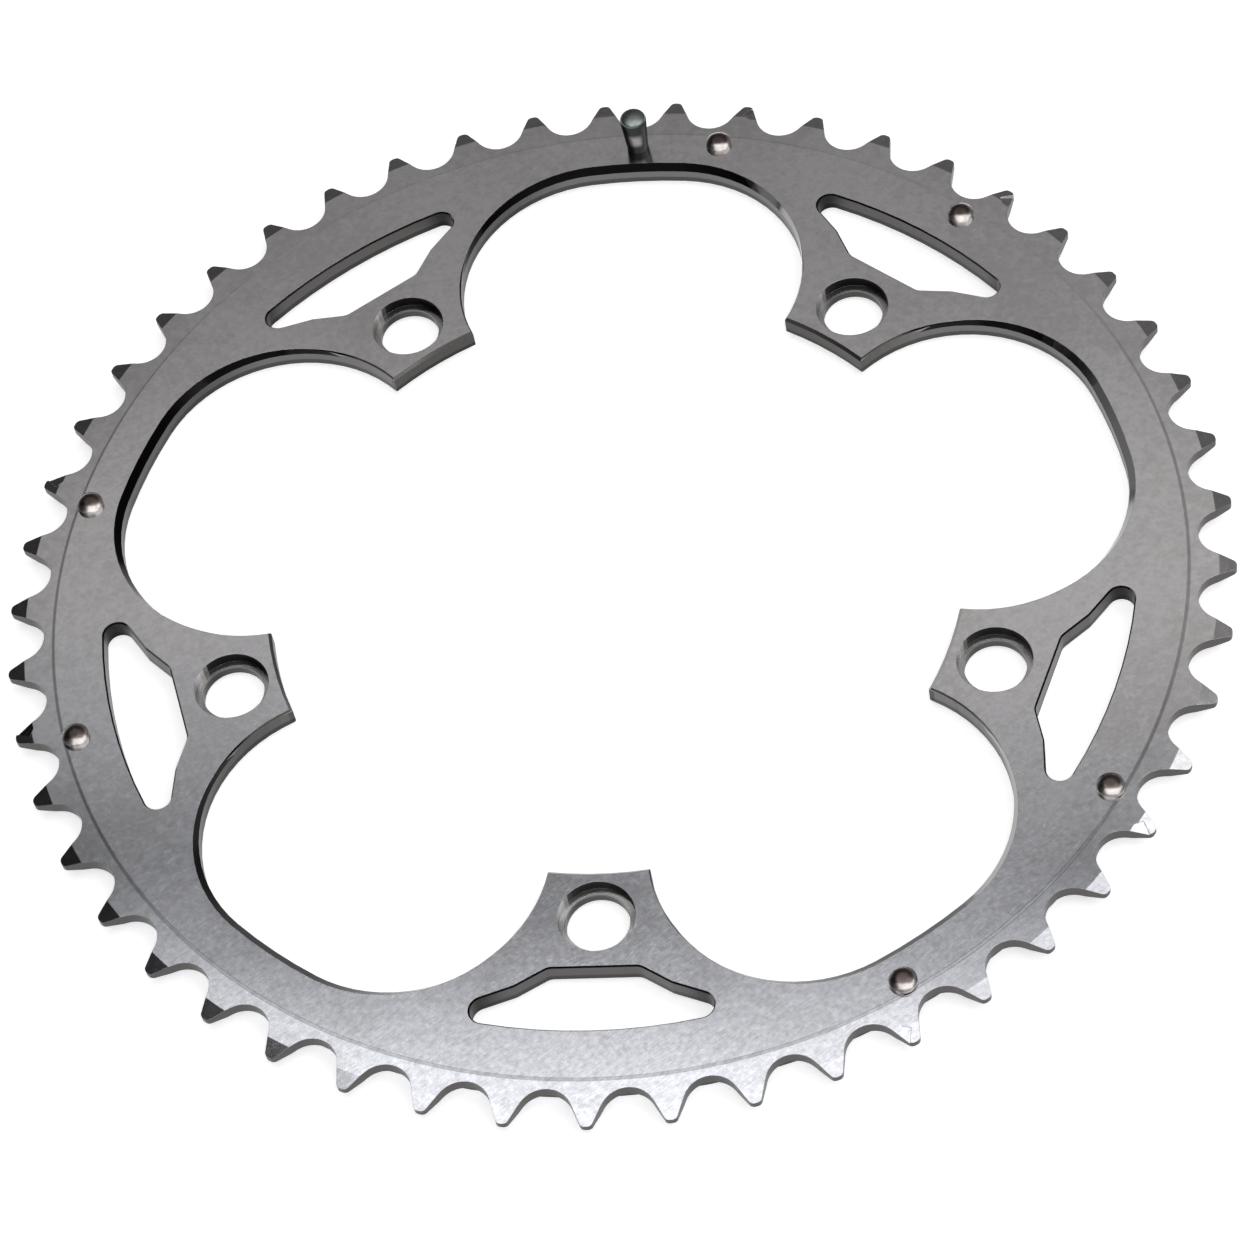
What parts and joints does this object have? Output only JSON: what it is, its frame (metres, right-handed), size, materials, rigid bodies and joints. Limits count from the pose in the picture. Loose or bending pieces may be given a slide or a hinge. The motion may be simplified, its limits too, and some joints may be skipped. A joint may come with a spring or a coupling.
{
  "type": "bicycle chainring",
  "caption": "Toothed ring plate with bolt tabs, lightening windows, riveted shift pins and a chain-drop pin; bolts to a crank's arms and drives a bicycle chain.",
  "frame": {"origin": "on the ring's axis, at the inner face that seats on the crank's arms", "axes": "+Z along the axis to the outer face, -Y towards one arm tab"},
  "size_m": [0.2016, 0.2014, 0.013],
  "materials": {
    "ring_alloy": "satin",
    "shift_pin_steel": "polished",
    "drop_pin_steel": "blackened"
  },
  "bodies": {
    "root": {"chainring": "ring_alloy", "shift_pin_1": "shift_pin_steel", "shift_pin_2": "shift_pin_steel", "shift_pin_3": "shift_pin_steel", "shift_pin_4": "shift_pin_steel", "shift_pin_5": "shift_pin_steel", "shift_pin_6": "shift_pin_steel", "chain_drop_pin": "drop_pin_steel"}
  },
  "joints": []
}
